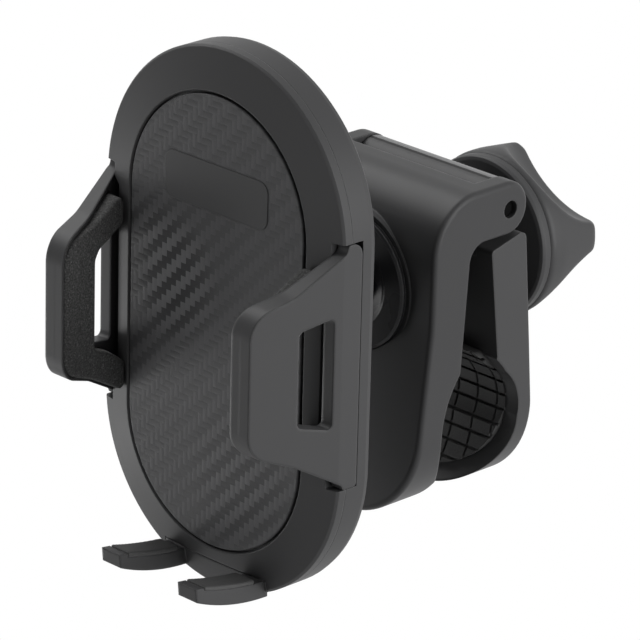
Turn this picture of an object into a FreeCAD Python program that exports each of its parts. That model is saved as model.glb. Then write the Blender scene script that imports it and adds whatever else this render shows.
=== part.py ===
import FreeCAD, Part
import math
import os

os.makedirs("parts", exist_ok=True)
V = FreeCAD.Vector

# Lengths in mm. The parts are modelled about the centre of the cradle's pad face, X right, Y back and
# Z up, and are moved at the end so that the origin is the centre of the clamped bar.
BAR_R = 11.6
BALL_TO_BAR = 14.2
BAR_DROP = 30.0
THROUGH = 150.0

# Clearances
SLIDE_GAP = 0.1
RIM_GAP = 0.2
ARM_GAP = 0.3
TURN_GAP = 0.06
SEAT_GAP = 0.05
ROCK_GAP = 0.18
NUT_GAP = 0.15
BAR_GAP = 0.35
MESH_GAP = 0.04
FOAM_GAP = 0.35
JOIN = 0.5

# Oval cradle: half width, half of the straight length, then depths from the pad's face
OVAL_R = 36.0
OVAL_HALF = 24.4
FACE_SETBACK = 2.1
RIM_BAND = 2.3
RIM_BREAK = 0.45
COVER_DEPTH = 7.6
COVER_WALL = 2.0
COVER_EDGE_R = 2.2
RIM_WIDTH = 9.5
PAD_GROOVE = 0.5
PAD_THICK = 1.6
BADGE_W = 31.0
BADGE_H = 10.6
BADGE_DROP = 20.1
BADGE_R = 2.5
BADGE_PROUD = 0.12
BADGE_DEPTH = 0.5

# Side arms: half height at the root, reach in front of the pad's face, walls and foam
ARM_HALF = 27.0
ARM_ROOT_DEPTH = 5.1
ARM_LEAN = 0.2247
ARM_REACH = 19.5
ARM_WALL = 3.0
ARM_LIP = 2.55
FOAM_TIP = 2.5
FOAM_ROOT = 5.1
CUT_WIDTH = 5.2
CUT_SHOULDER = 3.0
SLAB_WIDTH = 8.1
MECH_THICK = 2.5
GUIDE_Z = 20.0
GUIDE_HALF = 2.5
GUIDE_END = 7.0
RACK_STOP = 3.9

# Rack and pinion
MODULE = 1.0
PINION_TEETH = 12
PINION_PIN_R = 1.5
RACK_BACK = 3.25
ADDENDUM = 0.95
DEDENDUM = 1.25
TOOTH_SLOPE = math.tan(math.radians(20))

# Plate that holds the ball stud, and the stud's flange
HOLDER_THICK = 0.7
HOLDER_HALF_X = 15.0
HOLDER_HALF_Z = 8.5
HOLDER_SCREW_X = 11.5
FLANGE_R = 7.6
FLANGE_THICK = 2.0

# Screws
SCREW_RING_INSET = 12.8
SCREW_ANGLE = math.radians(51)
COVER_SCREW_R = 1.3
COVER_HEAD_R = 2.5
HEAD_DEPTH = 2.0
HEAD_SINK = 0.6
HOLDER_SCREW_R = 1.0
HOLDER_HEAD_R = 1.9

# Foot bracket
FOOT_INNER = 9.0
FOOT_OUTER = 14.7
FOOT_CUT_HALF = 15.7
FOOT_CUT_HEIGHT = 6.4
TONGUE_HALF = 11.0
TONGUE_RISE = 26.4
FOOT_PAD_THICK = 0.95
LEAF_HALF = 5.5
LEAF_THICK = 0.35

# Ball joint
STUD_REACH = 31.8
BALL_R = 6.5
NECK_R = 3.4
CUP_WALL = 1.0
CUP_START = 2.4
NUT_R = 15.5
NUT_FACE = 3.4
NUT_THICK = 1.3
SKIRT_R = 11.0
SKIRT_REACH = 3.2
MOUTH_R = 5.2

# Clamp, measured from the ball's centre and the bar's centre
CLAMP_HALF = 23.4
EAR_THICK = 4.8
BAR_TO_HINGE = 6.9
HINGE_RISE = 16.8
BARREL_R = 5.8
HINGE_R = 2.0
EAR_R = 5.9
CROWN_RISE = 6.2
PIN_SINK = 1.2
LEG_FACE = 1.5
LEG_TOE = 6.9
LEG_BELOW_BAR = 21.5
LEG_END_FLAT = 2.4
EDGE_R = 1.2
HOLLOW_R = 23.0
HOLLOW_FLOOR = 0.4
REAR_FLOOR = 0.2
FRONT_HOLLOW_DROP = 2.0
REAR_HOLLOW_DROP = 4.0
TONGUE_BACK = 15.8
PAD_INSET = 3.9
PAD_TOP_RISE = 13.5
PAD_BURIED = 1.2
PAD_PROUD = 2.0
REAR_PAD_PROUD = 1.7
GROOVE_DEPTH = 0.6
GROOVE_WIDTH = 0.7
GROOVE_PITCH_Z = 3.45
GROOVE_PITCH_X = 5.8
BOSS_R = 16.6
BOSS_FACE = 2.0

# Clamp bolt, spring and washer
BOLT_R = 3.0
BOLT_HEAD_AF = 10.0
BOLT_HEAD_THICK = 3.0
BOLT_LENGTH = 40.5
INNER_BOSS_R = 9.0
INNER_BOSS_DEPTH = 1.8
SPRING_POCKET = 1.1
SPRING_POCKET_R = 6.6
SPRING_R = 4.6
SPRING_WIRE = 0.6
SPRING_TURNS = 5
DOME_R = 8.6
DOME_SEAT = 5.4
WASHER_R = 5.6
WASHER_BACK = 9.4

# Knob
HUB_LENGTH = 7.0
HUB_R = 7.0
KNOB_R = 18.5
FLANGE_DEPTH = 2.8
LOBE_DEPTH = 16.2
LOBE_TIP_R = 17.0
LOBE_ANGLE = 1.5
VALLEY_R = 28.3
VALLEY_OUT = 17.3
VALLEY_MID_R = 23.3
VALLEY_MID = 5.9
VALLEY_LOW_R = 13.5
INSERT_AF = 9.0
INSERT_START = 1.7
INSERT_LENGTH = 8.0

# Places that follow from the sizes above
groove_r = OVAL_R - RIM_WIDTH
pad_r = groove_r - PAD_GROOVE
oval_foot = -(OVAL_HALF + OVAL_R)
bezel_back = FACE_SETBACK + RIM_BAND
mech_front = bezel_back + SLIDE_GAP
mech_back = mech_front + MECH_THICK
arm_back = FACE_SETBACK + ARM_ROOT_DEPTH
cover_back = bezel_back + COVER_DEPTH
cover_inner = cover_back - 1.1 * COVER_WALL
holder_front = mech_back + SLIDE_GAP
holder_back = holder_front + HOLDER_THICK
ball_y = cover_back + STUD_REACH
bar_y = ball_y + BALL_TO_BAR
bar_z = -BAR_DROP
hinge_y = bar_y + BAR_TO_HINGE
hinge_z = HINGE_RISE
barrel_half = CLAMP_HALF - EAR_THICK
cup_r = BALL_R + CUP_WALL
nut_front = ball_y - NUT_FACE
nut_back = nut_front + NUT_THICK
skirt_back = ball_y + SKIRT_REACH
boss_face = ball_y - BOSS_FACE
bolt_head_front = ball_y + cup_r + 0.2
bolt_head_back = bolt_head_front + BOLT_HEAD_THICK
inner_boss_back = bolt_head_back + INNER_BOSS_DEPTH
spring_floor = hinge_y + SPRING_POCKET
dome_seat = hinge_y + DOME_SEAT
washer_back = hinge_y + WASHER_BACK
knob_front = washer_back + HUB_LENGTH
flange_back = knob_front + FLANGE_DEPTH
knob_back = flange_back + LOBE_DEPTH
leg_end = bar_z - LEG_BELOW_BAR
leg_end_r = CLAMP_HALF - LEG_END_FLAT
pad_top = bar_z + PAD_TOP_RISE


def box(x0, x1, y0, y1, z0, z1):
    return Part.makeBox(x1 - x0, y1 - y0, z1 - z0, V(x0, y0, z0))


def rod_y(radius, y0, y1, x=0.0, z=0.0):
    return Part.makeCylinder(radius, y1 - y0, V(x, y0, z), V(0, 1, 0))


def rod_x(radius, half, y, z):
    return Part.makeCylinder(radius, 2 * half, V(-half, y, z), V(1, 0, 0))


def outline(corners, place):
    """A closed wire through corners (a, b, radius), each corner rounded by its radius."""
    count = len(corners)
    edges = []
    tangents = []
    for i in range(count):
        a, b, r = corners[i]
        here = V(a, b, 0)
        back = V(corners[i - 1][0], corners[i - 1][1], 0) - here
        ahead = V(corners[(i + 1) % count][0], corners[(i + 1) % count][1], 0) - here
        back.normalize()
        ahead.normalize()
        if r <= 0:
            tangents.append((here, None, here))
            continue
        half = back.getAngle(ahead) / 2.0
        reach = r / math.tan(half)
        mid = back + ahead
        mid.normalize()
        centre = here + mid * (r / math.sin(half))
        middle = centre - mid * r
        tangents.append((here + back * reach, middle, here + ahead * reach))
    for i in range(count):
        start, middle, end = tangents[i]
        if middle is not None:
            edges.append(Part.Arc(place(start), place(middle), place(end)).toShape())
        following = tangents[(i + 1) % count][0]
        if (following - end).Length > 1e-6:
            edges.append(Part.makeLine(place(end), place(following)))
    return Part.Wire(edges)


def side_face(corners, x=0.0):
    """A face across X from corners given as (y, z, radius)."""
    return Part.Face(outline(corners, lambda p: V(x, p.x, p.y)))


def side_prism(corners, x0, x1):
    return side_face(corners, x0).extrude(V(x1 - x0, 0, 0))


def front_prism(corners, y0, y1):
    """A prism along Y from corners given as (x, z, radius)."""
    wire = outline(corners, lambda p: V(p.x, y0, p.y))
    return Part.Face(wire).extrude(V(0, y1 - y0, 0))


def plan_prism(corners, z0, z1):
    """A prism along Z from corners given as (x, y, radius)."""
    wire = outline(corners, lambda p: V(p.x, p.y, z0))
    return Part.Face(wire).extrude(V(0, 0, z1 - z0))


def rounded_slab(half_x, half_z, radius, y0, y1, centre_z=0.0):
    low = centre_z - half_z
    high = centre_z + half_z
    return front_prism([(-half_x, low, radius), (half_x, low, radius), (half_x, high, radius),
                        (-half_x, high, radius)], y0, y1)


def oval_solid(profile):
    """The oval body swept by a profile of (radius, y) points that starts and ends on the axis."""
    points = [V(r, y, OVAL_HALF) for r, y in profile]
    right = Part.Face(Part.makePolygon(points + [points[0]]))
    top = right.revolve(V(0, 0, OVAL_HALF), V(0, 1, 0), -180)
    bottom = right.mirror(V(0, 0, 0), V(0, 0, 1)).revolve(V(0, 0, -OVAL_HALF), V(0, 1, 0), 180)
    full = [V(r, y, -OVAL_HALF) for r, y in profile]
    full += [V(-r, y, -OVAL_HALF) for r, y in reversed(profile) if r > 0]
    middle = Part.Face(Part.makePolygon(full + [full[0]])).extrude(V(0, 0, 2 * OVAL_HALF))
    return middle.fuse([top, bottom]).removeSplitter()


def round_solid(profile):
    """A turned body about the Y axis from (radius, y) points."""
    points = [V(r, y, 0) for r, y in profile]
    return Part.Face(Part.makePolygon(points + [points[0]])).revolve(V(0, 0, 0), V(0, 1, 0), 360)


def hex_prism(across, y0, y1):
    r = across / math.sqrt(3)
    corners = [(r * math.cos(math.radians(60 * i)), r * math.sin(math.radians(60 * i)), 0) for i in range(6)]
    return front_prism(corners, y0, y1)


def mirrored(shape):
    return shape.mirror(V(0, 0, 0), V(1, 0, 0))


def face_y(radius):
    """Depth of the bezel's cone face at a radius from the oval's centre line."""
    return FACE_SETBACK * (radius - groove_r) / RIM_WIDTH


def save(name, shape):
    solid = shape.copy()
    solid.translate(V(0, -bar_y, -bar_z))
    solid.exportStep("parts/" + name + ".step")


# Cut-outs in the rim for the arms, wider between the shoulders, and one for the feet
cut_x = OVAL_R - CUT_WIDTH
shoulder_x = OVAL_R - ARM_WALL - ARM_GAP
cut_end = ARM_HALF + RIM_GAP
shoulder_z = cut_end - CUT_SHOULDER
arm_cut = front_prism([(shoulder_x, cut_end, 0.3), (shoulder_x, shoulder_z, 0.8), (cut_x, shoulder_z - 1.5, 1.2),
                       (cut_x, 1.5 - shoulder_z, 1.2), (shoulder_x, -shoulder_z, 0.8), (shoulder_x, -cut_end, 0.3),
                       (OVAL_R + 5, -cut_end, 0), (OVAL_R + 5, cut_end, 0)], -FACE_SETBACK, arm_back + RIM_GAP)
foot_cut_z = oval_foot + FOOT_CUT_HEIGHT
foot_cut = box(-FOOT_CUT_HALF, FOOT_CUT_HALF, -FACE_SETBACK, arm_back + RIM_GAP, oval_foot - 2, foot_cut_z)
side_cuts = [arm_cut, mirrored(arm_cut), foot_cut]

# Front bezel: cone face with a recess for the pad
bezel = oval_solid([(0, PAD_THICK), (groove_r, PAD_THICK), (groove_r, 0.45),
                    (groove_r + 0.35, face_y(groove_r + 0.35)),
                    (OVAL_R - 0.5, face_y(OVAL_R - 0.5)), (OVAL_R, FACE_SETBACK + RIM_BREAK),
                    (OVAL_R, bezel_back), (0, bezel_back)])
bezel = bezel.cut(side_cuts)
ring = OVAL_R - SCREW_RING_INSET
screw_x = ring * math.sin(SCREW_ANGLE)
screw_z = OVAL_HALF + ring * math.cos(SCREW_ANGLE)
screw_spots = [(sx * screw_x, sz * screw_z) for sx in (-1, 1) for sz in (-1, 1)]
screw_tip = PAD_THICK + 0.7
for x, z in screw_spots:
    bezel = bezel.cut(rod_y(COVER_SCREW_R, screw_tip, bezel_back + 1, x, z))
pin_front = PAD_THICK + 1.0
bezel = bezel.cut(rod_y(PINION_PIN_R, pin_front, bezel_back + 1))
save("front_bezel", bezel)

# Rear cover: shell with a rounded back edge, ribs behind the sliding bars, screw pillars and a collar
edge = COVER_EDGE_R
shell = oval_solid([(0, bezel_back), (OVAL_R - 0.15, bezel_back), (OVAL_R, bezel_back + 0.15),
                    (OVAL_R, cover_back - edge), (OVAL_R - 0.13 * edge, cover_back - 0.5 * edge),
                    (OVAL_R - 0.5 * edge, cover_back - 0.13 * edge), (OVAL_R - edge, cover_back),
                    (0, cover_back)])
inner_r = OVAL_R - COVER_WALL
hollow = oval_solid([(0, bezel_back - 1), (inner_r, bezel_back - 1), (inner_r, cover_inner - 1),
                     (inner_r - 1, cover_inner), (0, cover_inner)])
cover = shell.cut(hollow)
rib_front = mech_back + SLIDE_GAP
rib_end = OVAL_R - ARM_WALL
pinion_r = MODULE * PINION_TEETH / 2.0
rack_root = pinion_r + DEDENDUM * MODULE
rack_edge = rack_root + RACK_BACK
ribs = []
for z in (GUIDE_Z, -GUIDE_Z, rack_edge - 0.2, -rack_edge + 0.2):
    ribs.append(box(-rib_end, rib_end, rib_front, cover_inner + JOIN, z - 0.8, z + 0.8))
for x in (-7.0, 7.0):
    ribs.append(box(x - 0.8, x + 0.8, rib_front, cover_inner + JOIN, oval_foot + 4.4, oval_foot + 30.4))
pillars = []
for x, z in screw_spots:
    pillars.append(rod_y(COVER_HEAD_R + 1.1, bezel_back, cover_inner + JOIN, x, z))
for x in (-HOLDER_SCREW_X, HOLDER_SCREW_X):
    pillars.append(rod_y(HOLDER_SCREW_R + 1.6, holder_back, cover_inner + JOIN, x, 0))
collar = round_solid([(0, cover_back - JOIN), (FLANGE_R + 0.4, cover_back - JOIN), (FLANGE_R + 0.4, cover_back),
                      (FLANGE_R - 2.0, cover_back + 2.6), (0, cover_back + 2.6)])
cover = cover.fuse(ribs + pillars + [collar])
cover = cover.cut(side_cuts + [rod_y(NECK_R + TURN_GAP, cover_inner - 1, cover_back + 5)])
screw_head = cover_back - HEAD_SINK - HEAD_DEPTH
for x, z in screw_spots:
    cover = cover.cut(rod_y(COVER_SCREW_R + SLIDE_GAP, bezel_back - 1, cover_back, x, z))
    cover = cover.cut(rod_y(COVER_HEAD_R + 0.2, screw_head, cover_back + 1, x, z))
for x in (-HOLDER_SCREW_X, HOLDER_SCREW_X):
    cover = cover.cut(rod_y(HOLDER_SCREW_R, holder_back - 1, cover_back - 0.8, x, 0))
cover = cover.removeSplitter()
save("rear_cover", cover)

# Oval pad with a shallow seat for the bare badge plate
badge_z = OVAL_HALF + pad_r - BADGE_DROP
pad = oval_solid([(0, 0), (pad_r - 0.2, 0), (pad_r, 0.2), (pad_r, PAD_THICK), (0, PAD_THICK)])
pad = pad.cut(rounded_slab(BADGE_W / 2, BADGE_H / 2, BADGE_R, -1, BADGE_DEPTH, badge_z))
save("phone_pad", pad)
save("badge_plate", rounded_slab(BADGE_W / 2, BADGE_H / 2, BADGE_R, -BADGE_PROUD, BADGE_DEPTH, badge_z))

# Cover screws: heads in counterbores at the back of the cover
screws = []
arm_of_cross = 0.5 * COVER_HEAD_R
for x, z in screw_spots:
    shank = rod_y(COVER_SCREW_R, screw_tip + SLIDE_GAP, screw_head + SLIDE_GAP, x, z)
    head = rod_y(COVER_HEAD_R, screw_head, screw_head + HEAD_DEPTH, x, z)
    cross_floor = screw_head + 0.6 * HEAD_DEPTH
    cross = box(x - arm_of_cross, x + arm_of_cross, cross_floor, cover_back, z - 0.3, z + 0.3)
    cross = cross.fuse(box(x - 0.3, x + 0.3, cross_floor, cover_back, z - arm_of_cross, z + arm_of_cross))
    screws.append(shank.fuse(head).cut(cross))
save("cover_screws", Part.makeCompound(screws))


# Side arms
def outside(x_root, x_tip):
    """The space outwards of a wall that is upright at the rim and leans to x_tip at the arm's front."""
    slope = (x_root - x_tip) / (FACE_SETBACK + ARM_REACH)
    front = -ARM_REACH - 10
    far = x_root - slope * (FACE_SETBACK - front)
    points = [(x_root, THROUGH, 0), (x_root, FACE_SETBACK, 0), (far, front, 0), (THROUGH, front, 0),
              (THROUGH, THROUGH, 0)]
    return plan_prism(points, -THROUGH, THROUGH)


outer_tip = OVAL_R - ARM_LEAN * (FACE_SETBACK + ARM_REACH)
wall_root = OVAL_R - ARM_WALL
wall_tip = outer_tip - ARM_WALL
outer_side = outside(OVAL_R, outer_tip)
lip_side = outside(wall_root, wall_tip - ARM_LIP)
floor_side = outside(wall_root, wall_tip)
foam_side = outside(wall_root - FOAM_ROOT, wall_tip - FOAM_TIP)
h = ARM_HALF
arm_corners = [(arm_back, h, 2.8), (3.2, h, 0.9), (2.9, h - 1.6, 1.2), (-9.0, h - 9.0, 9.0),
               (-ARM_REACH, h - 12.1, 6.5), (-ARM_REACH, 11.8 - h, 6.5), (-9.0, 7.8 - h, 9.0),
               (2.9, 1.1 - h, 1.2), (3.3, -h, 0.6), (arm_back, -h, 0.8)]
foam_corners = [(-0.8, h - 5.4, 0.8), (-9.2, h - 10.3, 8.0), (0.7 - ARM_REACH, h - 13.0, 5.8),
                (0.7 - ARM_REACH, 12.6 - h, 5.8), (-9.4, 9.0 - h, 8.0), (0.1, 3.8 - h, 0.8), (0.1, 10.4 - h, 0.8),
                (-4.0, 13.4 - h, 3.0), (-9.4, 15.6 - h, 1.2), (-9.4, h - 16.6, 3.4), (-0.8, h - 11.8, 0.8)]
window_corners = [(0.2, h - 15.0, 1.2), (-8.2, h - 16.8, 1.6), (-8.2, 16.2 - h, 1.6), (0.2, 14.1 - h, 1.2)]
plate = side_prism(arm_corners, 0, OVAL_R + 1).common(lip_side).cut(outer_side)
pocket = side_face(foam_corners).makeOffset2D(FOAM_GAP).extrude(V(THROUGH, 0, 0)).cut(floor_side)
arm = plate.cut([pocket, side_prism(window_corners, 0, THROUGH)])
save("right_arm", arm)
save("left_arm", mirrored(arm))

# Foam pad: C shape round the window, seated in the arm's pocket
foam = side_prism(foam_corners, 0, THROUGH).cut(floor_side).common(foam_side)
save("right_arm_pad", foam)
save("left_arm_pad", mirrored(foam))

# Sliders: a slab at each arm's root with two guide bars and a toothed rack
tooth_pitch = math.pi * MODULE
slab_x = OVAL_R - SLAB_WIDTH
rack_end = slab_x - RACK_STOP


def rack():
    """Rack bar above the pinion with its teeth downwards."""
    bar = box(-rack_end, slab_x + JOIN, mech_front, mech_back, rack_root, rack_edge)
    half_root = 0.25 * tooth_pitch + DEDENDUM * MODULE * TOOTH_SLOPE - MESH_GAP
    half_tip = 0.25 * tooth_pitch - MODULE * TOOTH_SLOPE - 1.5 * MESH_GAP
    tip_z = pinion_r - ADDENDUM * MODULE
    root_z = rack_root + SLIDE_GAP
    teeth = []
    for i in range(-7, 7):
        centre = (i + 0.5) * tooth_pitch
        if abs(centre) > rack_end - 0.55 * tooth_pitch:
            continue
        teeth.append(front_prism([(centre - half_root, root_z, 0), (centre - half_tip, tip_z, 0),
                                  (centre + half_tip, tip_z, 0), (centre + half_root, root_z, 0)],
                                 mech_front, mech_back))
    return bar.fuse(teeth).removeSplitter()


slider = [box(slab_x, wall_root, mech_front, mech_back, 1 - ARM_HALF, ARM_HALF - 1)]
for z in (-GUIDE_Z, GUIDE_Z):
    slider.append(box(GUIDE_END, slab_x + JOIN, mech_front, mech_back, z - GUIDE_HALF, z + GUIDE_HALF))
upper = rack()
lower = upper.mirror(V(0, 0, 0), V(0, 0, 1))
save("right_rack", slider[0].fuse(slider[1:] + [lower]).removeSplitter())
save("left_rack", mirrored(slider[0].fuse(slider[1:] + [upper]).removeSplitter()))

# Pinion between the racks, turning on a pin, with a brake ring behind it
outer_r = pinion_r + ADDENDUM * MODULE
root_r = pinion_r - DEDENDUM * MODULE + MESH_GAP
wheel_front = mech_front + SEAT_GAP
wheel_back = mech_back - 0.5
half_root = 0.25 * tooth_pitch + 0.75 * MODULE * TOOTH_SLOPE - 2 * MESH_GAP
half_pitch = 0.25 * tooth_pitch - MESH_GAP
half_tip = 0.25 * tooth_pitch - MODULE * TOOTH_SLOPE - 1.5 * MESH_GAP
teeth = []
for i in range(PINION_TEETH):
    tooth = front_prism([(-half_root, root_r - 0.4, 0), (half_root, root_r - 0.4, 0), (half_pitch, pinion_r, 0),
                         (half_tip, outer_r, 0), (-half_tip, outer_r, 0), (-half_pitch, pinion_r, 0)],
                        wheel_front, wheel_back)
    tooth.rotate(V(0, 0, 0), V(0, 1, 0), 360.0 * i / PINION_TEETH)
    teeth.append(tooth)
wheel = rod_y(root_r, wheel_front, wheel_back).fuse(teeth).removeSplitter()
save("pinion", wheel.cut(rod_y(PINION_PIN_R + SEAT_GAP, mech_front - 1, mech_back + 1)))
save("pinion_pin", rod_y(PINION_PIN_R, pin_front, holder_back))
brake = rod_y(root_r - 0.6, wheel_back + SEAT_GAP, holder_front)
save("pinion_brake", brake.cut(rod_y(PINION_PIN_R, mech_front, holder_back)))

# Plate that traps the stud's flange, and its screws
holder = rounded_slab(HOLDER_HALF_X, HOLDER_HALF_Z, 2.0, holder_front, holder_back)
holder = holder.cut(rod_y(PINION_PIN_R, holder_front - 1, holder_back + 1))
head_front = holder_front - 1.2
holder_screws = []
for x in (-HOLDER_SCREW_X, HOLDER_SCREW_X):
    holder = holder.cut(rod_y(HOLDER_SCREW_R, holder_front - 1, holder_back + 1, x, 0))
    shank = rod_y(HOLDER_SCREW_R, head_front + 0.6, cover_back - 1.0, x, 0)
    holder_screws.append(shank.fuse(rod_y(HOLDER_HEAD_R, head_front, holder_front, x, 0)))
save("stud_holder", holder)
save("holder_screws", Part.makeCompound(holder_screws))

# Foot bracket: bridge that follows the bezel's face, a tongue inside, and two hooks
bridge_half = FOOT_CUT_HALF - RIM_GAP
bridge_zone = box(-bridge_half, bridge_half, -FACE_SETBACK, arm_back, oval_foot - 10, foot_cut_z - RIM_GAP)
bridge = oval_solid([(0, -0.5), (groove_r, 0), (OVAL_R - 0.5, face_y(OVAL_R - 0.5)),
                     (OVAL_R, FACE_SETBACK + RIM_BREAK), (OVAL_R, arm_back), (0, arm_back)]).common(bridge_zone)
tongue = box(-TONGUE_HALF, TONGUE_HALF, mech_front, mech_back, oval_foot + 3.4, oval_foot + TONGUE_RISE)


def foot_section(points, x0, x1):
    """A foot's side outline from (kind, points), extruded in X: an arc has three points, a line two."""
    edges = []
    for chain in points:
        placed = [V(x0, y, oval_foot + z) for y, z in chain]
        edges.append(Part.Arc(*placed).toShape() if len(placed) == 3 else Part.makeLine(*placed))
    return Part.Face(Part.Wire(edges)).extrude(V(x1 - x0, 0, 0))


root = (-0.9, 6.0)
mid = (-8.4, 7.1)
tip = (-15.4, 8.8)
hook_outline = [[(-17.5, 6.7), (-8.0, 3.45), (3.0, 2.1)], [(3.0, 2.1), (3.0, 5.8)], [(3.0, 5.8), root],
                [root, mid, tip], [tip, (-15.6, 9.5)], [(-15.6, 9.5), (-17.8, 9.8)], [(-17.8, 9.8), (-17.5, 6.7)]]
pad_tip = (tip[0] + 0.3, tip[1] + 0.9 * FOOT_PAD_THICK)
pad_mid = (mid[0] + 0.2, mid[1] + FOOT_PAD_THICK)
pad_root = (root[0], root[1] + FOOT_PAD_THICK)
pad_outline = [[root, mid, tip], [tip, pad_tip], [pad_tip, pad_mid, pad_root], [pad_root, root]]
hooks = [foot_section(hook_outline, FOOT_INNER, FOOT_OUTER), foot_section(hook_outline, -FOOT_OUTER, -FOOT_INNER)]
save("foot_bracket", bridge.fuse([tongue] + hooks).removeSplitter())
save("right_foot_pad", foot_section(pad_outline, FOOT_INNER, FOOT_OUTER))
save("left_foot_pad", foot_section(pad_outline, -FOOT_OUTER, -FOOT_INNER))

# Leaf spring that rubs on the foot tongue, held between the cover and the tongue
leaf_touch = mech_back
leaf_outline = [[(cover_inner, 8.4), (leaf_touch, 15.4), (cover_inner, 22.4)],
                [(cover_inner, 22.4), (cover_inner, 21.2)],
                [(cover_inner, 21.2), (leaf_touch + LEAF_THICK, 15.4), (cover_inner, 9.6)],
                [(cover_inner, 9.6), (cover_inner, 8.4)]]
save("foot_spring", foot_section(leaf_outline, -LEAF_HALF, LEAF_HALF))

# Ball stud: flange inside the cover, neck, ball
ball = Part.makeSphere(BALL_R, V(0, ball_y, 0))
stud = rod_y(FLANGE_R, holder_back, holder_back + FLANGE_THICK)
save("ball_stud", stud.fuse([rod_y(NECK_R, holder_back + 1, ball_y), ball]).removeSplitter())

# Friction cup round the back half of the ball
ball_room = Part.makeSphere(BALL_R + SEAT_GAP, V(0, ball_y, 0))
cup = Part.makeSphere(cup_r, V(0, ball_y, 0)).cut(ball_room)
save("friction_cup", cup.common(rod_y(2 * cup_r, ball_y + CUP_START, ball_y + 2 * cup_r)))

# Lock nut: dished disc with a skirt in the boss, seated on the front of the ball
skirt_inner = cup_r + 0.6
nut = round_solid([(MOUTH_R, nut_front + 1.0), (SKIRT_R - 2.0, nut_front + 0.5), (SKIRT_R - 0.8, nut_front),
                   (NUT_R - 0.5, nut_front), (NUT_R, nut_front + 0.5), (NUT_R, nut_back), (SKIRT_R, nut_back),
                   (SKIRT_R, skirt_back), (skirt_inner, skirt_back), (skirt_inner, ball_y + 0.3),
                   (MOUTH_R, ball_y + 0.3)])
save("lock_nut", nut.cut(ball_room))

# Front jaw: arched top with two ears, a leg with a round end, and a round boss
leg_face = ball_y - LEG_FACE
ear_back = hinge_y + EAR_R - 0.4
crown = hinge_z + CROWN_RISE
ear_foot = hinge_z - EAR_R
below = leg_end - JOIN
jaw_side = [(leg_face, crown, 12.5), (ear_back, crown, EAR_R), (ear_back, ear_foot, EAR_R),
            (ball_y + 9.9, ear_foot, 4.2), (ball_y + 5.8, below, 3.4), (ball_y - LEG_TOE, below, 0),
            (leg_face - 0.3, -6.0, 30.0)]
jaw_front = [(-CLAMP_HALF, THROUGH, 0), (CLAMP_HALF, THROUGH, 0), (CLAMP_HALF, leg_end, leg_end_r),
             (-CLAMP_HALF, leg_end, leg_end_r)]
u_shape = front_prism(jaw_front, 0, THROUGH)
jaw = side_prism(jaw_side, -CLAMP_HALF, CLAMP_HALF).common(u_shape)


def front_rim(e):
    """True for an edge that runs round the outer border of the jaw's front face."""
    b = e.BoundBox
    across = b.ZLength < 0.1 and b.ZMax > leg_end + 1
    return b.YMin < ball_y and b.YMax < leg_face + 13 and not across and b.YMin < boss_face + 1


jaw = jaw.makeFillet(EDGE_R, [e for e in jaw.Edges if front_rim(e)])
front_hollow_y = bar_y - BAR_R - HOLLOW_FLOOR + HOLLOW_R
front_hollow_z = bar_z - FRONT_HOLLOW_DROP
jaw = jaw.cut([rod_x(HOLLOW_R, THROUGH, front_hollow_y, front_hollow_z),
               box(-barrel_half - SLIDE_GAP, barrel_half + SLIDE_GAP, hinge_y - BARREL_R - 0.8, THROUGH,
                   hinge_z - 2 * BARREL_R, THROUGH)])
jaw = jaw.fuse([rod_y(BOSS_R, boss_face, ball_y + 7), rod_y(INNER_BOSS_R, ball_y + 6, inner_boss_back)])
jaw = jaw.removeSplitter()
jaw = jaw.cut([rod_y(SKIRT_R + TURN_GAP, boss_face - 3, skirt_back + 0.2),
               rod_y(NUT_R + NUT_GAP, nut_front - 4, nut_back + SEAT_GAP),
               Part.makeSphere(cup_r + SEAT_GAP, V(0, ball_y, 0)),
               hex_prism(BOLT_HEAD_AF, ball_y, bolt_head_back), rod_y(BOLT_R, ball_y, inner_boss_back + 1),
               rod_x(HINGE_R, THROUGH, hinge_y, hinge_z)])

# Rear jaw: hinge barrel and neck between the ears, full width below them, a round end
back = hinge_y + 5.2
rear_side = [(hinge_y - 5.3, hinge_z - 8.5, 0.8), (back, hinge_z - 5.8, 1.6), (back + 2.4, -15.0, 60.0),
             (bar_y + TONGUE_BACK, bar_z, 20.0), (bar_y + TONGUE_BACK - 0.6, below, 3.4),
             (bar_y + 2.0, below, 0), (bar_y + 4.6, pad_top, 0)]
rear_hollow_y = bar_y + BAR_R + REAR_FLOOR - HOLLOW_R
rear_hollow_z = bar_z - REAR_HOLLOW_DROP
rear = side_prism(rear_side, -CLAMP_HALF, CLAMP_HALF).common(u_shape)
rear = rear.cut([rod_x(HOLLOW_R, THROUGH, rear_hollow_y, rear_hollow_z),
                 rod_x(BAR_R + BAR_GAP, THROUGH, bar_y, bar_z)])
neck = side_prism([(hinge_y - 5.1, hinge_z - 10.8, 0), (back + 0.1, hinge_z - 10.8, 0),
                   (hinge_y + BARREL_R - SEAT_GAP, hinge_z, 0), (hinge_y - BARREL_R + 0.1, hinge_z, 0)],
                  -barrel_half, barrel_half)
rear = rear.fuse([neck, rod_x(BARREL_R, barrel_half, hinge_y, hinge_z)]).removeSplitter()
dome_zone = rod_y(WASHER_R + 1.4, dome_seat - JOIN, dome_seat + DOME_R)
dome = Part.makeSphere(DOME_R, V(0, hinge_y, 0)).common(dome_zone)
rear = rear.cut(rod_y(WASHER_R + 2.6, dome_seat, dome_seat + DOME_R)).fuse(dome)
slot = rounded_slab(BOLT_R + 0.2, 1.5 * BOLT_R, BOLT_R + 0.1, hinge_y - THROUGH / 2, hinge_y + THROUGH / 2)
rear = rear.cut([slot, rod_y(SPRING_POCKET_R, hinge_y - THROUGH / 2, spring_floor),
                 rod_x(HINGE_R + SEAT_GAP, THROUGH, hinge_y, hinge_z)])

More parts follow.
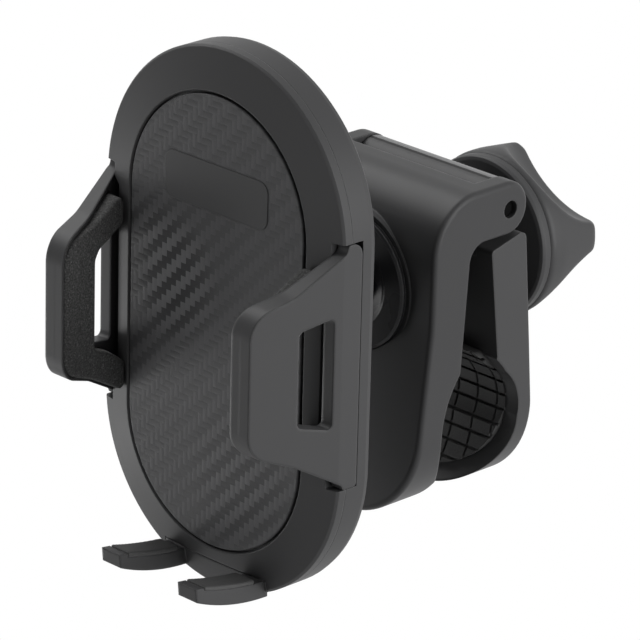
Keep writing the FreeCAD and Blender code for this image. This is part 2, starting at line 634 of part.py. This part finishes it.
# Rubber pads in the two hollows, each with an arc of the bar's radius in its middle
bar = rod_x(BAR_R, THROUGH, bar_y, bar_z)
pad_half = CLAMP_HALF - PAD_INSET
pad_end_r = leg_end_r - PAD_INSET
pad_zone = front_prism([(-pad_half, pad_top, 1.5), (-pad_half, leg_end + PAD_INSET, pad_end_r),
                        (pad_half, leg_end + PAD_INSET, pad_end_r), (pad_half, pad_top, 1.5)], 0, THROUGH)


def groove_set(y, z):
    """Shallow grooves across and along the curved face of a pad, as one cutting body."""
    skin = rod_x(HOLLOW_R + GROOVE_DEPTH, THROUGH, y, z).fuse(rod_x(BAR_R + GROOVE_DEPTH, THROUGH, bar_y, bar_z))
    half = GROOVE_WIDTH / 2
    slabs = []
    for i in range(-4, 5):
        at = bar_z - 2.0 + i * GROOVE_PITCH_Z
        slabs.append(box(-THROUGH, THROUGH, 0, THROUGH, at - half, at + half))
    for i in range(-3, 4):
        at = i * GROOVE_PITCH_X
        slabs.append(box(at - half, at + half, 0, THROUGH, leg_end, pad_top + 2))
    return skin.common(slabs[0].multiFuse(slabs[1:]))


front_zone = pad_zone.common(box(-THROUGH, THROUGH, 0, bar_y, -THROUGH, THROUGH))
front_zone = front_zone.common(rod_x(HOLLOW_R + PAD_BURIED, THROUGH, front_hollow_y, front_hollow_z))
front_pad_y = front_hollow_y + PAD_PROUD
front_pad = front_zone.cut([rod_x(HOLLOW_R, THROUGH, front_pad_y, front_hollow_z), bar])
front_pad = front_pad.cut(groove_set(front_pad_y, front_hollow_z))
rear_zone = pad_zone.common(box(-THROUGH, THROUGH, bar_y, 2 * THROUGH, -THROUGH, THROUGH))
rear_zone = rear_zone.common(rod_x(HOLLOW_R + PAD_BURIED, THROUGH, rear_hollow_y, rear_hollow_z))
rear_pad_y = rear_hollow_y - REAR_PAD_PROUD
rear_pad = rear_zone.cut([rod_x(HOLLOW_R, THROUGH, rear_pad_y, rear_hollow_z), bar])
rear_pad = rear_pad.cut(groove_set(rear_pad_y, rear_hollow_z))
save("front_jaw", jaw.cut(front_zone))
save("rear_jaw", rear.cut(rear_zone))
save("front_jaw_pad", front_pad)
save("rear_jaw_pad", rear_pad)

# Hinge pin, pressed in the ears
save("hinge_pin", rod_x(HINGE_R, CLAMP_HALF - PIN_SINK, hinge_y, hinge_z))

# Clamp bolt with its head in the front jaw
bolt = hex_prism(BOLT_HEAD_AF, bolt_head_front, bolt_head_back)
save("clamp_bolt", bolt.fuse(rod_y(BOLT_R, bolt_head_front, bolt_head_front + BOLT_LENGTH)).removeSplitter())

# Spring round the bolt, between the front jaw's boss and the pocket in the rear jaw
spring_length = spring_floor - inner_boss_back - 2 * SPRING_WIRE
helix = Part.makeHelix(spring_length / SPRING_TURNS, spring_length, SPRING_R)
start = Part.Wire(Part.makeCircle(SPRING_WIRE, V(SPRING_R, 0, 0), V(0, 1, 0)))
coil = Part.Wire(helix).makePipeShell([start], True, True)
coil.rotate(V(0, 0, 0), V(1, 0, 0), -90)
coil.translate(V(0, inner_boss_back + SPRING_WIRE, 0))
save("jaw_spring", coil)

# Washer that rocks on the rear jaw's dome
washer = rod_y(WASHER_R, dome_seat + 1.3, washer_back)
save("rocker_washer", washer.cut([Part.makeSphere(DOME_R + ROCK_GAP, V(0, hinge_y, 0)),
                                  rod_y(BOLT_R + 0.15, hinge_y, washer_back + 1)]))

# Knob: front flange with the hub, three-lobed body behind it, threaded insert between them
rim = KNOB_R - 0.4
insert_front = knob_front + INSERT_START
insert_hole = hex_prism(INSERT_AF, insert_front, insert_front + INSERT_LENGTH)
base = round_solid([(0, washer_back), (HUB_R - 0.6, washer_back), (HUB_R, washer_back + 0.6),
                    (HUB_R, knob_front), (KNOB_R - 1.0, knob_front), (KNOB_R - 0.3, knob_front + 0.3),
                    (KNOB_R, knob_front + 1.0), (KNOB_R, flange_back - 0.3), (rim, flange_back),
                    (0, flange_back)])
save("knob_base", base.cut([rod_y(BOLT_R + 0.15, washer_back - 1, flange_back + 1), insert_hole]))
body = round_solid([(0, flange_back), (rim, flange_back), (KNOB_R, flange_back + 0.3), (KNOB_R, flange_back + 4.0),
                    (LOBE_TIP_R + 0.4, knob_back - 1.5), (LOBE_TIP_R - 1.2, knob_back), (0, knob_back)])
for i in range(3):
    at = KNOB_R + VALLEY_OUT
    low = V(at + VALLEY_LOW_R, flange_back, 0)
    bend = V(at + VALLEY_MID_R, flange_back + VALLEY_MID, 0)
    high = V(at + VALLEY_R, knob_back, 0)
    over = V(at + VALLEY_R, knob_back + 5, 0)
    sides = [Part.makeLine(V(at, flange_back, 0), low), Part.Arc(low, bend, high).toShape(), Part.makeLine(high, over),
             Part.makeLine(over, V(at, knob_back + 5, 0)), Part.makeLine(V(at, knob_back + 5, 0), V(at, flange_back, 0))]
    scoop = Part.Face(Part.Wire(sides)).revolve(V(at, 0, 0), V(0, 1, 0), 360)
    scoop.rotate(V(0, 0, 0), V(0, 1, 0), -(LOBE_ANGLE + 60 + 120 * i))
    body = body.cut(scoop)
bolt_room = insert_front + INSERT_LENGTH + 5
save("wing_knob", body.cut([insert_hole, rod_y(BOLT_R + 0.15, washer_back, bolt_room)]))
save("insert_nut", insert_hole.cut(rod_y(BOLT_R, washer_back, bolt_room)))
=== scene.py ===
"""Phone holder for a stroller bar: camera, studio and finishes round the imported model."""

import math

import bmesh
import bpy
from mathutils import Matrix, Vector


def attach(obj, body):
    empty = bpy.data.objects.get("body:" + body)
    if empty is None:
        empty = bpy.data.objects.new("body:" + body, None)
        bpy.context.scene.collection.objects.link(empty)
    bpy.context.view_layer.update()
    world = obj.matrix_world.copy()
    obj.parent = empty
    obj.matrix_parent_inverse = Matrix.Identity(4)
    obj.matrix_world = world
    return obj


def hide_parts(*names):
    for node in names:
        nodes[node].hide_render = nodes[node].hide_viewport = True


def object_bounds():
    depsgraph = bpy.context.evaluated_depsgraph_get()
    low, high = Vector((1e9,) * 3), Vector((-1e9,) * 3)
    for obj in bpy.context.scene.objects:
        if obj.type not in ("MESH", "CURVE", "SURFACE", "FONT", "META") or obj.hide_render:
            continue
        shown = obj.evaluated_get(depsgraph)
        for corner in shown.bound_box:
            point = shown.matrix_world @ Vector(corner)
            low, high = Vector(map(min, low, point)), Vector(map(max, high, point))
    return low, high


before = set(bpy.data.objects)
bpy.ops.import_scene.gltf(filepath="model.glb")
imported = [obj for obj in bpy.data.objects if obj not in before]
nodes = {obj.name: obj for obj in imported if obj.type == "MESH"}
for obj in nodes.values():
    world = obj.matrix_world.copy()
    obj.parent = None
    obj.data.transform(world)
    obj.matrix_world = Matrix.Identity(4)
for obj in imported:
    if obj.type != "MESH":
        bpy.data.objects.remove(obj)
cad_box = [list(corner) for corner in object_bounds()]
MM = 0.001

# The cradle's pad face is centred here in the model's frame, whose origin is the clamped bar.
PAD_CENTRE = Vector((0.0, -58.0, 30.0)) * MM

# Camera, fitted to the oval of the cradle: angles in degrees, lengths in millimetres
CAMERA_AZIMUTH = 44.942
CAMERA_ELEVATION = 21.300
CAMERA_ROLL = 1.483
CAMERA_SHIFT_RIGHT = 22.258
CAMERA_SHIFT_UP = 1.064
CAMERA_DISTANCE = 1000.5
FOCAL_PIXELS = 4772.613
FRAME_PIXELS = 640
SENSOR = 36.0
CLIP_NEAR = 50.0
CLIP_FAR = 20000.0


def camera_axes():
    """Unit vectors to the camera's right, its top and its back."""
    angles = (CAMERA_AZIMUTH, CAMERA_ELEVATION, CAMERA_ROLL)
    azimuth, elevation, roll = (math.radians(angle) for angle in angles)
    back = Vector((math.sin(azimuth) * math.cos(elevation), -math.cos(azimuth) * math.cos(elevation),
                   math.sin(elevation)))
    level = Vector((math.cos(azimuth), math.sin(azimuth), 0.0))
    upright = back.cross(level)
    right = math.cos(roll) * level + math.sin(roll) * upright
    up = -math.sin(roll) * level + math.cos(roll) * upright
    return right, up, back


def add_camera():
    """The camera of the photo."""
    right, up, back = camera_axes()
    data = bpy.data.cameras.new("photo_camera")
    data.sensor_width = SENSOR
    data.lens = FOCAL_PIXELS / FRAME_PIXELS * SENSOR
    data.clip_start = CLIP_NEAR * MM
    data.clip_end = CLIP_FAR * MM
    camera = bpy.data.objects.new("photo_camera", data)
    offset = CAMERA_SHIFT_RIGHT * right + CAMERA_SHIFT_UP * up + CAMERA_DISTANCE * back
    place = offset * MM + PAD_CENTRE
    camera.matrix_world = Matrix((*zip(right, up, back, place), (0, 0, 0, 1)))
    bpy.context.scene.collection.objects.link(camera)
    bpy.context.scene.camera = camera


# Shader kit
class Socket:
    """A shader socket that adds Math nodes when it is used in an expression."""

    def __init__(self, tree, output):
        self.tree = tree
        self.output = output

    def _math(self, operation, *values):
        node = self.tree.nodes.new("ShaderNodeMath")
        node.operation = operation
        for entry, value in zip(node.inputs, values):
            if isinstance(value, Socket):
                self.tree.links.new(value.output, entry)
            else:
                entry.default_value = value
        return Socket(self.tree, node.outputs[0])

    def __add__(self, other):
        return self._math("ADD", self, other)

    __radd__ = __add__

    def __mul__(self, other):
        return self._math("MULTIPLY", self, other)

    def __sub__(self, other):
        return self._math("SUBTRACT", self, other)

    def __rsub__(self, other):
        return self._math("SUBTRACT", other, self)

    def __truediv__(self, other):
        return self._math("DIVIDE", self, other)

    def floor(self):
        return self._math("FLOOR", self)

    def fraction(self):
        return self._math("FRACT", self)

    def wrap(self, top):
        return self._math("FLOORED_MODULO", self, top)

    def below(self, limit):
        return self._math("LESS_THAN", self, limit)

    def above(self, limit):
        return self._math("GREATER_THAN", self, limit)

    def clamp(self):
        """The same value, held between 0 and 1."""
        held = self._math("ADD", self, 0.0)
        held.output.node.use_clamp = True
        return held

    def power(self, exponent):
        return self._math("POWER", self, exponent)


# Inputs and output of a Mix node that are used for colours
MIX_FACTOR = 0
MIX_LOW = 6
MIX_HIGH = 7
MIX_RESULT = 2

# Rays of a Bevel node, and how steeply an edge's turn counts toward the painted edge highlight
BEVEL_SAMPLES = 6
EDGE_GAIN = 5.0


class Finish:
    """A material under construction: its tree, its shader and one way to add any node."""

    def __init__(self, name):
        self.material = bpy.data.materials.new(name)
        self.material.use_nodes = True
        self.tree = self.material.node_tree
        self.shader = self.tree.nodes["Principled BSDF"]

    def add(self, kind, settings=None, **sockets):
        """A node of any kind, with its settings and with values or sockets for its inputs."""
        node = self.tree.nodes.new(kind)
        for key, value in (settings or {}).items():
            setattr(node, key, value)
        for key, value in sockets.items():
            self.feed(node, key.replace("_", " "), value)
        return node

    def feed(self, node, key, value):
        """Link a socket to an input of a node, or set the input to a plain value."""
        entry = node.inputs[key]
        if isinstance(value, Socket):
            self.tree.links.new(value.output, entry)
        else:
            entry.default_value = value

    def out(self, node, key=0):
        return Socket(self.tree, node.outputs[key])

    def set(self, **values):
        """Give the Principled shader values or sockets, by the names of its inputs."""
        for key, value in values.items():
            self.feed(self.shader, key.replace("_", " "), value)

    def spot(self):
        """Object coordinates, in metres."""
        return self.out(self.add("ShaderNodeTexCoord"), "Object")

    def axes(self):
        split = self.add("ShaderNodeSeparateXYZ", Vector=self.spot())
        return self.out(split, 0), self.out(split, 1), self.out(split, 2)

    def noise(self, scale, detail=2.0, roughness=0.5):
        node = self.add("ShaderNodeTexNoise", Vector=self.spot(), Scale=scale, Detail=detail,
                        Roughness=roughness)
        return self.out(node, 0)

    def cells(self, scale):
        node = self.add("ShaderNodeTexVoronoi", Vector=self.spot(), Scale=scale)
        return self.out(node, "Distance")

    def blend(self, factor, low, high):
        """A colour from low to high, each an RGB value or a socket."""
        node = self.add("ShaderNodeMix", {"data_type": "RGBA"})
        self.feed(node, MIX_FACTOR, factor)
        for entry, colour in ((MIX_LOW, low), (MIX_HIGH, high)):
            self.feed(node, entry, colour if isinstance(colour, Socket) else (*colour, 1.0))
        return self.out(node, MIX_RESULT)

    def soft_edges(self, radius):
        """The surface's normal, rounded over its edges."""
        return self.out(self.add("ShaderNodeBevel", {"samples": BEVEL_SAMPLES}, Radius=radius * MM))

    def edges(self, radius):
        """Near 1 on sharp edges, 0 on flat and gently curved faces."""
        surface = self.out(self.add("ShaderNodeNewGeometry"), "Normal")
        match = self.add("ShaderNodeVectorMath", {"operation": "DOT_PRODUCT"})
        self.feed(match, 0, self.soft_edges(radius))
        self.feed(match, 1, surface)
        return ((1.0 - self.out(match, "Value")) * EDGE_GAIN).clamp()

    def bump(self, height, depth, normal, strength):
        """Relief on top of the given normal, from a height that counts in depths."""
        node = self.add("ShaderNodeBump", Height=height, Distance=depth * MM, Normal=normal,
                        Strength=strength)
        return self.out(node)


# Finishes: tones are linear RGB, scales of noise and cells are counts per metre, lengths are millimetres

# Specular level of the black finishes
SHEEN = 0.13

# The middle of a noise and of a blend
MIDDLE = 0.5


def tint(tone, share):
    """A tone made darker by a share below 1, or lighter by one above."""
    return [value * share for value in tone]


# Moulded plastic
PLASTIC_PATCHES = 60.0
PLASTIC_PORES = 5200.0
PATCH_TONE = 0.18
PORE_TONE = 0.10
TONE_SPREAD = 0.14
PATCH_ROUGHNESS = 0.10
PORE_DEPTH = 0.04
EDGE_WIDTH = 0.3
# Tone of the painted highlight along edges and on the strip behind the barrel's seam
HIGHLIGHT_TONE = (0.16, 0.16, 0.162)

# Seam along the top of the hinge barrel, with a strip of painted highlight behind it
SEAM_Y = 6.2
SEAM_Z = 52.56
SEAM_WIDTH = 0.9
SEAM_HALF_LENGTH = 18.6
SEAM_TONE = (0.001, 0.001, 0.001)
STRIP_LOW = 50.0


def draw_seam(finish, colour):
    """The barrel's colour with the painted highlight strip and then the dark seam laid over it."""
    across, depth, height = finish.axes()
    inside = (across * across).below((SEAM_HALF_LENGTH * MM) ** 2)
    # Painted highlight: the barrel's top behind the seam is made pale, as if lit from above
    painted_strip = depth.above(SEAM_Y * MM) * height.above(STRIP_LOW * MM) * inside
    apart_y = depth - SEAM_Y * MM
    apart_z = height - SEAM_Z * MM
    seam = (apart_y * apart_y + apart_z * apart_z).below((SEAM_WIDTH * MM / 2) ** 2) * inside
    return finish.blend(seam, finish.blend(painted_strip, colour, HIGHLIGHT_TONE), SEAM_TONE)


def moulded_black(name, tone, roughness, edge=0.35, grain=0.12, edge_highlight=0.0, sheen=SHEEN, seam=False):
    """Black moulded plastic: fine grain, slightly uneven sheen, softened edges with a painted pale
    highlight.
    """
    finish = Finish(name)
    patches = finish.noise(PLASTIC_PATCHES, detail=3.0)
    pores = finish.noise(PLASTIC_PORES)
    lift = (patches - MIDDLE) * PATCH_TONE + (pores - MIDDLE) * PORE_TONE + MIDDLE
    colour = finish.blend(lift.clamp(), tint(tone, 1 - TONE_SPREAD), tint(tone, 1 + TONE_SPREAD))
    # Painted highlight: a pale line along sharp edges, where they catch the light
    if edge_highlight:
        colour = finish.blend(finish.edges(EDGE_WIDTH) * edge_highlight, colour, HIGHLIGHT_TONE)
    if seam:
        colour = draw_seam(finish, colour)
    finish.set(Base_Color=colour, Specular_IOR_Level=sheen,
               Roughness=((patches - MIDDLE) * PATCH_ROUGHNESS + roughness).clamp(),
               Normal=finish.bump(pores, PORE_DEPTH, finish.soft_edges(edge), strength=grain))
    return finish.material


# Foam: the grit makes it lighter and darker, and its highest points are pale specks
FOAM_CELLS = 1500.0
FOAM_GRIT = 2600.0
FOAM_MEAN = 0.17
GRIT_TONE = 1.3
SPECK_START = 0.62
SPECK_SLOPE = 12.0
SPECK_TONE = 0.6
FOAM_ROUGHNESS = 0.85
FOAM_DEPTH = 0.12
FOAM_EDGE = 0.5
FOAM_DARK = (0.034, 0.034, 0.034)
FOAM_PALE = (0.20, 0.20, 0.197)


def foam_black():
    """Closed-cell foam rubber with pale specks."""
    finish = Finish("foam_rubber")
    cells = finish.cells(FOAM_CELLS)
    grit = finish.noise(FOAM_GRIT, detail=3.0, roughness=0.7)
    speck = ((grit - SPECK_START) * SPECK_SLOPE).clamp()
    tone = (grit - MIDDLE) * GRIT_TONE + FOAM_MEAN + speck * SPECK_TONE
    finish.set(Base_Color=finish.blend(tone.clamp(), FOAM_DARK, FOAM_PALE), Specular_IOR_Level=SHEEN,
               Roughness=FOAM_ROUGHNESS,
               Normal=finish.bump(cells + grit, FOAM_DEPTH, finish.soft_edges(FOAM_EDGE), strength=0.5))
    return finish.material


# Rubber
RUBBER_GRIT = 2400.0
RUBBER_ROUGHNESS = 0.58
GRIT_ROUGHNESS = 0.2
RUBBER_DEPTH = 0.05
RUBBER_EDGE = 0.25
RUBBER_DARK = (0.035, 0.035, 0.035)
RUBBER_PALE = (0.07, 0.07, 0.07)


def rubber_black():
    """Dull moulded rubber with a fine grit."""
    finish = Finish("jaw_rubber")
    grit = finish.noise(RUBBER_GRIT, detail=3.0, roughness=0.6)
    finish.set(Base_Color=finish.blend(grit, RUBBER_DARK, RUBBER_PALE), Specular_IOR_Level=SHEEN,
               Roughness=((grit - MIDDLE) * GRIT_ROUGHNESS + RUBBER_ROUGHNESS).clamp(),
               Normal=finish.bump(grit, RUBBER_DEPTH, finish.soft_edges(RUBBER_EDGE), strength=0.25))
    return finish.material


# Woven pad: a tow is one flat bundle of strands, and the twill repeats after four of them
TOW_WIDTH = 1.47
TWILL_REPEAT = 4.0
TWILL_OVER = 2.0
WEAVE_STRANDS = 3000.0
WEAVE_MEAN = 0.42
# Contrast of the painted sheen between upright and across tows
WEAVE_CONTRAST = 0.18
STRAND_TONE = 0.25
WEAVE_ROUGHNESS = 0.36
UPRIGHT_ROUGHNESS = 0.14
STRAND_ROUGHNESS = 0.1
WEAVE_DEPTH = 0.06
WEAVE_EDGE = 0.2
WEAVE_DARK = (0.028, 0.028, 0.029)
WEAVE_PALE = (0.105, 0.105, 0.108)

# Painted sheen, where the tows' contrast is raised as if they caught the light: x, z, radius, added
# contrast
PAINTED_SHEEN_PATCHES = ((-13.5, 37.5, 15.0, 0.75), (8.5, -2.5, 17.0, 0.45))


def crown(turns):
    """0 at each side of a tow and 1 along its middle."""
    return 1.0 - (turns.fraction() * 2.0 - 1.0).power(2.0)


def woven_black():
    """Moulded twill relief, two tows over, two under, stepping up to the right, with painted sheen on
    the tows.
    """
    finish = Finish("twill_relief")
    across, _, upward = finish.axes()
    column = across / (TOW_WIDTH * MM)
    row = upward / (TOW_WIDTH * MM)
    upright_on_top = (column.floor() - row.floor()).wrap(TWILL_REPEAT).below(TWILL_OVER)
    height = upright_on_top * crown(column) + (1.0 - upright_on_top) * crown(row)
    strands = finish.noise(WEAVE_STRANDS)
    contrast = WEAVE_CONTRAST
    for centre_x, centre_z, radius, strength in PAINTED_SHEEN_PATCHES:
        aside = (across - centre_x * MM) / (radius * MM)
        above = (upward - centre_z * MM) / (radius * MM)
        contrast = contrast + (1.0 - aside * aside - above * above).clamp() * strength
    # The tone difference between upright and across tows is painted sheen; the strands add random tone
    tone = (upright_on_top - MIDDLE) * contrast + (strands - MIDDLE) * STRAND_TONE + WEAVE_MEAN
    uneven = (strands - MIDDLE) * STRAND_ROUGHNESS
    roughness = upright_on_top * UPRIGHT_ROUGHNESS + WEAVE_ROUGHNESS + uneven
    finish.set(Base_Color=finish.blend(tone.clamp(), WEAVE_DARK, WEAVE_PALE), Specular_IOR_Level=SHEEN,
               Roughness=roughness.clamp(),
               Normal=finish.bump(height, WEAVE_DEPTH, finish.soft_edges(WEAVE_EDGE), strength=0.5))
    return finish.material


# Metals and nylon
STEEL_TONE = (0.52, 0.52, 0.54)
BRASS_TONE = (0.75, 0.58, 0.28)
NYLON_DARK = (0.62, 0.61, 0.58)
NYLON_PALE = (0.74, 0.73, 0.70)
METAL_PATCHES = 900.0
POLISH_SPREAD = 0.2
NYLON_PATCHES = 200.0
NYLON_ROUGHNESS = 0.45


def plain_metal(name, tone, roughness):
    """Bare metal with a slightly uneven polish."""
    finish = Finish(name)
    patches = finish.noise(METAL_PATCHES)
    finish.set(Base_Color=(*tone, 1.0), Metallic=1.0,
               Roughness=((patches - MIDDLE) * POLISH_SPREAD + roughness).clamp())
    return finish.material


def plain_nylon():
    """Natural nylon, a little cloudy."""
    finish = Finish("white_nylon")
    patches = finish.noise(NYLON_PATCHES)
    finish.set(Base_Color=finish.blend(patches, NYLON_DARK, NYLON_PALE), Roughness=NYLON_ROUGHNESS)
    return finish.material


# Which CAD node has which finish
BODY_TONE = (0.044, 0.044, 0.045)
# A little darker than the body's tone: painted shade on the clamp's faces that lie behind the cradle
CLAMP_TONE = (0.036, 0.036, 0.037)
# Much darker than the body's tone: painted shade on the nut, which lies in the cradle's shadow
NUT_TONE = (0.014, 0.014, 0.015)
BADGE_TONE = (0.048, 0.048, 0.049)
# Near black, and with almost no sheen below: painted shade in the hinge pin's recessed hole
PIN_TONE = (0.004, 0.004, 0.004)

# The share for pale edges in the rows below is the strength of a painted edge highlight
body_black = moulded_black("satin_black_plastic", BODY_TONE, 0.46, edge_highlight=0.35)
rounded_black = moulded_black("rounded_black_plastic", BODY_TONE, 0.46, edge=0.8, edge_highlight=0.6)
clamp_black = moulded_black("clamp_black_plastic", CLAMP_TONE, 0.42, edge=0.7, grain=0.05, edge_highlight=0.6)
barrel_black = moulded_black("barrel_black_plastic", BODY_TONE, 0.42, edge=0.7, grain=0.05, edge_highlight=0.6,
                             seam=True)
nut_black = moulded_black("nut_black_plastic", NUT_TONE, 0.28, edge=0.25, grain=0.05, edge_highlight=0.9)
badge_black = moulded_black("smooth_black_plastic", BADGE_TONE, 0.42, grain=0.05)
pin_black = moulded_black("pin_steel_painted_shade", PIN_TONE, 0.8, sheen=0.02)
woven = woven_black()
foam = foam_black()
rubber = rubber_black()
steel = plain_metal("plain_steel", STEEL_TONE, 0.32)
brass = plain_metal("plain_brass", BRASS_TONE, 0.3)
nylon = plain_nylon()

finishes = {
    body_black: ("front_bezel", "rear_cover", "left_rack", "right_rack", "knob_base", "wing_knob",
                 "ball_stud"),
    rounded_black: ("left_arm", "right_arm", "foot_bracket"),
    clamp_black: ("front_jaw",),
    barrel_black: ("rear_jaw",),
    nut_black: ("lock_nut",),
    badge_black: ("badge_plate",),
    pin_black: ("hinge_pin",),
    woven: ("phone_pad",),
    foam: ("left_arm_pad", "right_arm_pad"),
    rubber: ("left_foot_pad", "right_foot_pad", "front_jaw_pad", "rear_jaw_pad", "pinion_brake"),
    steel: ("cover_screws", "pinion_pin", "stud_holder", "holder_screws", "foot_spring", "jaw_spring",
            "clamp_bolt", "rocker_washer"),
    brass: ("insert_nut",),
    nylon: ("pinion", "friction_cup"),
}
for material, names in finishes.items():
    for name in names:
        mesh = nodes[name].data
        mesh.materials.clear()
        mesh.materials.append(material)

# Degrees between two faces from which the edge between them stays sharp
CREASE_ANGLE = 32.0


def shade_by_angle(part):
    """Smooth shading on the curved faces of a CAD node, sharp at its creases."""
    bpy.ops.object.select_all(action="DESELECT")
    part.select_set(True)
    bpy.context.view_layer.objects.active = part
    bpy.ops.object.shade_auto_smooth(angle=math.radians(CREASE_ANGLE))


# Knob and soft pads: the CAD nodes with their edges rounded as moulded ones are, lengths in millimetres
MERGE_DISTANCE = 0.002
SMOOTHING = 0.5
ROUNDED = (
    # Piece, CAD node, body that it rides on, finish, cell, smoothing passes, swell
    ("rounded_knob", "wing_knob", "knob_body", body_black, 0.3, 50, 0.5),
    ("left_arm_foam", "left_arm_pad", "left_arm_body", foam, 0.4, 14, 0.2),
    ("right_arm_foam", "right_arm_pad", "right_arm_body", foam, 0.4, 14, 0.2),
    ("left_foot_rubber", "left_foot_pad", "foot_body", rubber, 0.22, 6, 0.06),
    ("right_foot_rubber", "right_foot_pad", "foot_body", rubber, 0.22, 6, 0.06),
)


def merged_copy(name, piece_name):
    """A copy of a CAD node as one closed mesh, as an object of its own."""
    mesh = nodes[name].data.copy()
    form = bmesh.new()
    form.from_mesh(mesh)
    bmesh.ops.remove_doubles(form, verts=form.verts, dist=MERGE_DISTANCE * MM)
    form.to_mesh(mesh)
    form.free()
    piece = bpy.data.objects.new(piece_name, mesh)
    bpy.context.scene.collection.objects.link(piece)
    return piece


def bake(piece):
    """Replace a piece's mesh by the result of its modifiers."""
    graph = bpy.context.evaluated_depsgraph_get()
    mesh = bpy.data.meshes.new_from_object(piece.evaluated_get(graph))
    piece.modifiers.clear()
    piece.data = mesh


def rounded_piece(piece_name, node_name, body, material, cell, passes, swell):
    """Remesh a CAD node in small cells, smooth it, and swell it back to its size."""
    piece = merged_copy(node_name, piece_name)
    cells = piece.modifiers.new("cells", "REMESH")
    cells.mode = "VOXEL"
    cells.voxel_size = cell * MM
    cells.use_smooth_shade = True
    soften = piece.modifiers.new("soften", "SMOOTH")
    soften.factor = SMOOTHING
    soften.iterations = passes
    grow = piece.modifiers.new("grow", "DISPLACE")
    grow.strength = swell * MM
    grow.mid_level = 0.0
    bake(piece)
    piece.data.materials.clear()
    piece.data.materials.append(material)
    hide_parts(node_name)
    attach(piece, body)


for row in ROUNDED:
    rounded_piece(*row)

# Studio: pale floor and backdrop that the camera sees as white, and soft lamps, lengths in metres
FLOOR_DROP = 0.25
FLOOR_SIZE = 6.0
FLOOR_TONE = (0.50, 0.50, 0.50, 1.0)
FLOOR_ROUGHNESS = 0.9
WHITE = (1.0, 1.0, 1.0, 1.0)
AMBIENT = 0.05
LAMP_AIM = Vector((0.0, -0.02, 0.02))
LAMPS = (
    # Name, direction from the object, distance, width, height, power in watts
    ("front_softbox", (-0.2, -1.0, -0.05), 1.2, 0.5, 0.8, 3.4),
    ("low_left_softbox", (-0.9, -0.45, -0.4), 0.3, 0.14, 0.14, 0.23),
    ("right_softbox", (1.0, 0.3, 0.25), 1.2, 0.8, 1.0, 21.0),
    ("top_softbox", (-0.8, 0.0, 1.0), 1.2, 0.9, 1.0, 14.0),
)


def seen_directly(tree):
    """1 for the rays that show a surface to the camera, straight, mirrored or through glass."""
    path = tree.nodes.new("ShaderNodeLightPath")
    kinds = ("Is Camera Ray", "Is Glossy Ray", "Is Transmission Ray")
    straight, mirrored, through = (Socket(tree, path.outputs[kind]) for kind in kinds)
    return (straight + mirrored + through).clamp()


def white_floor():
    """A pale floor that lights the object as such, and looks white."""
    finish = Finish("white_floor")
    finish.set(Base_Color=FLOOR_TONE, Roughness=FLOOR_ROUGHNESS)
    glow = finish.add("ShaderNodeEmission", Color=WHITE, Strength=1.0)
    mix = finish.add("ShaderNodeMixShader")
    finish.feed(mix, 0, seen_directly(finish.tree))
    finish.feed(mix, 1, finish.out(finish.shader))
    finish.feed(mix, 2, finish.out(glow))
    finish.feed(finish.tree.nodes["Material Output"], "Surface", finish.out(mix))
    return finish.material


def add_floor():
    """A wide square floor, well below the object."""
    half = FLOOR_SIZE / 2
    level = cad_box[0][2] - FLOOR_DROP
    corners = [(x * half, y * half, level) for x, y in ((-1, -1), (1, -1), (1, 1), (-1, 1))]
    mesh = bpy.data.meshes.new("studio_floor")
    mesh.from_pydata(corners, [], [(0, 1, 2, 3)])
    mesh.materials.append(white_floor())
    floor = bpy.data.objects.new("studio_floor", mesh)
    bpy.context.scene.collection.objects.link(floor)


def add_world():
    """White to the camera and in reflections, and dim as a light."""
    world = bpy.data.worlds.new("studio")
    world.use_nodes = True
    tree = world.node_tree
    background = tree.nodes["Background"]
    strength = seen_directly(tree) * (1.0 - AMBIENT) + AMBIENT
    tree.links.new(strength.output, background.inputs["Strength"])
    background.inputs["Color"].default_value = WHITE
    bpy.context.scene.world = world


def add_softbox(name, towards, distance, width, height, power):
    """A large lamp in a direction from the object, facing it."""
    data = bpy.data.lights.new(name, "AREA")
    data.shape = "RECTANGLE"
    data.size = width
    data.size_y = height
    data.energy = power
    lamp = bpy.data.objects.new(name, data)
    direction = Vector(towards).normalized()
    lamp.location = direction * distance + LAMP_AIM
    lamp.rotation_euler = direction.to_track_quat("Z", "Y").to_euler()
    bpy.context.scene.collection.objects.link(lamp)


add_camera()
add_world()
add_floor()
for lamp_row in LAMPS:
    add_softbox(*lamp_row)
for part in nodes.values():
    shade_by_angle(part)

bpy.context.scene.view_settings.view_transform = "Standard"
